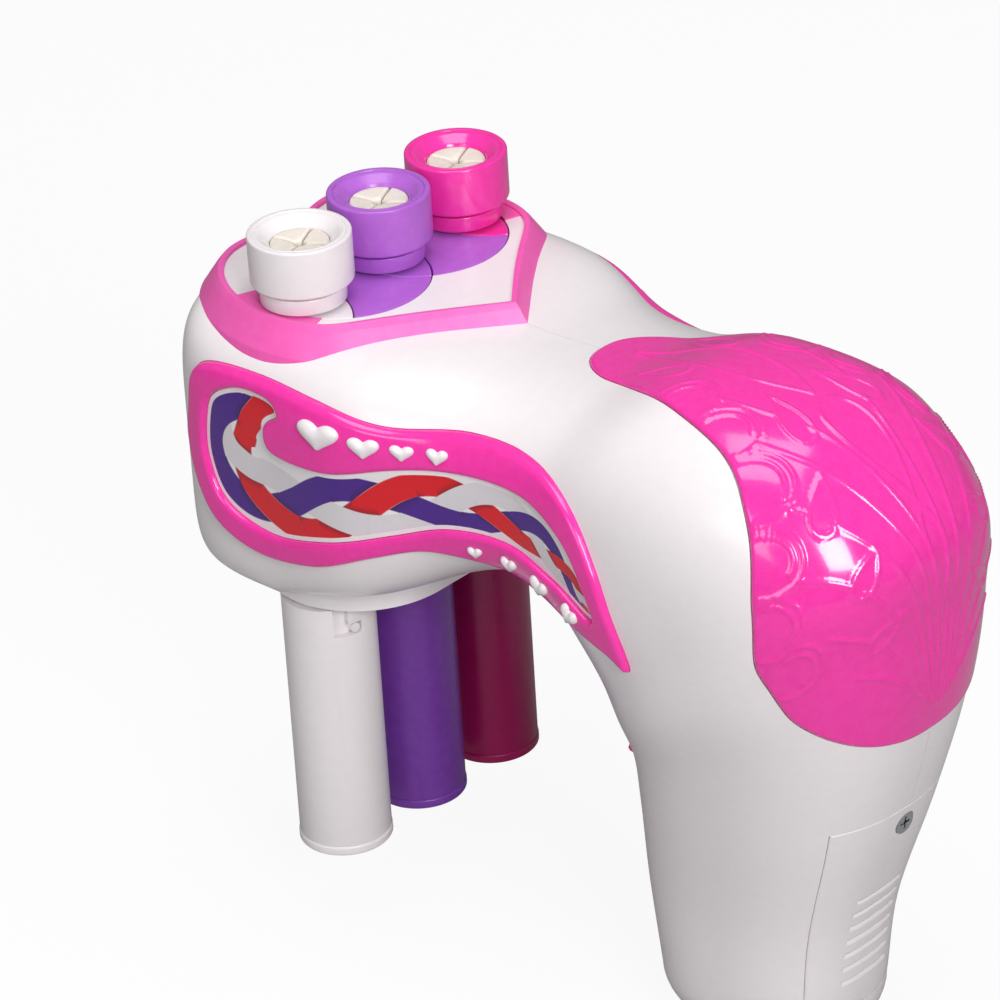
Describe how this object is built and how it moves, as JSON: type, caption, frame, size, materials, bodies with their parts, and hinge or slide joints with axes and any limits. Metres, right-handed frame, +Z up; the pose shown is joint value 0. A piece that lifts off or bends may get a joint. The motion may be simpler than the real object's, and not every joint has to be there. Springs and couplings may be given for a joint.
{
  "type": "automatic hair braider",
  "caption": "Handheld hair braider: strand holders with hanging tubes ride in overlapping turning discs, driven by gears in the head; pistol grip with trigger and battery bay.",
  "frame": {"origin": "middle of the handle's flat base", "axes": "+X to the back of the handle, so the strand holders are at -X; -Y is the left side, with the white holder; +Z up, along the strand holders"},
  "size_m": [0.2032, 0.0988, 0.18],
  "materials": {
    "white_shell": "satin white ABS",
    "pink_gloss": "glossy hot pink ABS",
    "pink_satin": "satin pink ABS",
    "plait_print": "glossy printed film",
    "purple_gloss": "satin purple ABS",
    "deep_purple": "satin deep purple ABS",
    "magenta_translucent": "tinted deep magenta plastic",
    "gear_acetal": "natural acetal",
    "steel": "zinc plated",
    "brass": "turned",
    "dark_plastic": "moulded",
    "deck_aluminium": "pressed sheet",
    "motor_can": "drawn can",
    "battery_cell": "wrapped cell"
  },
  "bodies": {
    "body": {"left_housing": "white_shell", "right_housing": "white_shell", "rear_dome": "pink_gloss", "heart_bezel": "pink_satin", "top_plate": "white_shell", "bottom_plate": "white_shell", "left_trim_frame": "pink_gloss", "right_trim_frame": "pink_gloss", "left_picture_plate": "plait_print", "right_picture_plate": "plait_print", "left_hearts": "white_shell", "right_hearts": "white_shell", "trigger_spring": "steel", "trigger_switch": "dark_plastic", "battery_tray": "white_shell", "battery_door": "white_shell", "battery_door_screw": "steel", "batteries": "battery_cell", "battery_contacts": "steel", "motor": "motor_can", "gear_axles": "steel", "lower_gear_deck": "deck_aluminium", "upper_gear_deck": "deck_aluminium", "deck_screws": "steel", "housing_screws": "steel"},
    "trigger": {"trigger_button": "pink_gloss"},
    "left_disc": {"left_rotor_plate": "purple_gloss", "left_rotor_core": "gear_acetal", "white_carrier": "white_shell", "white_carrier_foot": "white_shell", "white_collar": "white_shell", "white_grip": "white_shell"},
    "right_disc": {"right_rotor_plate": "purple_gloss", "right_rotor_core": "gear_acetal", "pink_carrier": "pink_gloss", "pink_carrier_foot": "pink_gloss", "pink_collar": "pink_gloss", "pink_grip": "white_shell"},
    "purple_holder": {"purple_carrier": "purple_gloss", "purple_carrier_foot": "purple_gloss", "purple_collar": "purple_gloss", "purple_grip": "white_shell"},
    "white_hanging_tube": {"white_tube": "white_shell", "white_tube_ring": "white_shell"},
    "purple_hanging_tube": {"purple_tube": "deep_purple", "purple_tube_ring": "deep_purple"},
    "pink_hanging_tube": {"pink_tube": "magenta_translucent", "pink_tube_ring": "magenta_translucent"},
    "left_idler": {"left_idler_gear": "gear_acetal"},
    "right_idler": {"right_idler_gear": "gear_acetal"},
    "reverser": {"reversing_gear": "gear_acetal"},
    "sector": {"sector_gear": "gear_acetal"},
    "second_reduction": {"second_reduction_gear": "gear_acetal"},
    "first_reduction": {"first_reduction_gear": "gear_acetal"},
    "pinion": {"motor_pinion": "brass"}
  },
  "joints": [
    {"name": "left_disc_turn", "type": "hinge", "parent": "body", "child": "left_disc", "pos_m": [-0.111, -0.01305, 0.16], "axis": [0, 0, 1], "range_deg": [-180, 0]},
    {"name": "right_disc_turn", "type": "hinge", "parent": "body", "child": "right_disc", "pos_m": [-0.111, 0.01305, 0.16], "axis": [0, 0, 1], "range_deg": [0, 180]},
    {"name": "purple_holder_turn", "type": "hinge", "parent": "left_disc", "child": "purple_holder", "pos_m": [-0.111, 0.01305, 0.16], "axis": [0, 0, 1], "range_deg": [0, 180]},
    {"name": "white_tube_twist", "type": "hinge", "parent": "left_disc", "child": "white_hanging_tube", "pos_m": [-0.111, -0.0261, 0.06], "axis": [0, 0, 1], "range_deg": [0, 20]},
    {"name": "purple_tube_twist", "type": "hinge", "parent": "purple_holder", "child": "purple_hanging_tube", "pos_m": [-0.111, 0, 0.06], "axis": [0, 0, 1], "range_deg": [0, 20]},
    {"name": "pink_tube_twist", "type": "hinge", "parent": "right_disc", "child": "pink_hanging_tube", "pos_m": [-0.111, 0.0261, 0.06], "axis": [0, 0, 1], "range_deg": [0, 20]},
    {"name": "trigger_press", "type": "slide", "parent": "body", "child": "trigger", "axis": [1, 0, 0], "range_m": [0, 0.003], "stiffness_N_per_m": 300, "springref_m": -0.004, "deforming": ["trigger_spring"]},
    {"name": "left_idler_turn", "type": "hinge", "parent": "body", "child": "left_idler", "pos_m": [-0.08449, -0.01305, 0.137], "axis": [0, 0, 1], "range_deg": [0, 480]},
    {"name": "sector_turn", "type": "hinge", "parent": "body", "child": "sector", "pos_m": [-0.0605, 0, 0.137], "axis": [0, 0, 1], "range_deg": [-172.8, 0]},
    {"name": "second_reduction_turn", "type": "hinge", "parent": "body", "child": "second_reduction", "pos_m": [-0.0377, 0, 0.137], "axis": [0, 0, 1], "range_deg": [0, 921.6]},
    {"name": "first_reduction_turn", "type": "hinge", "parent": "body", "child": "first_reduction", "pos_m": [-0.0232, 0, 0.137], "axis": [0, 0, 1], "range_deg": [-4423.68, 0]},
    {"name": "pinion_turn", "type": "hinge", "parent": "body", "child": "pinion", "pos_m": [-0.0122, 0, 0.137], "axis": [0, 0, 1], "range_deg": [0, 19906.56]},
    {"name": "right_idler_turn", "type": "hinge", "parent": "body", "child": "right_idler", "pos_m": [-0.08698, 0.02425, 0.137], "axis": [0, 0, 1], "range_deg": [-480, 0]},
    {"name": "reverser_turn", "type": "hinge", "parent": "body", "child": "reverser", "pos_m": [-0.07586, 0.0196, 0.137], "axis": [0, 0, 1], "range_deg": [0, 720]}
  ],
  "couplings": [
    {"joint": "left_idler_turn", "follows": "left_disc_turn", "ratio": -2.6667},
    {"joint": "sector_turn", "follows": "left_disc_turn", "ratio": 0.96},
    {"joint": "second_reduction_turn", "follows": "left_disc_turn", "ratio": -5.12},
    {"joint": "first_reduction_turn", "follows": "left_disc_turn", "ratio": 24.576},
    {"joint": "pinion_turn", "follows": "left_disc_turn", "ratio": -110.59},
    {"joint": "right_idler_turn", "follows": "right_disc_turn", "ratio": -2.6667},
    {"joint": "reverser_turn", "follows": "right_disc_turn", "ratio": 4},
    {"joint": "purple_holder_turn", "follows": "right_disc_turn", "ratio": 1}
  ]
}
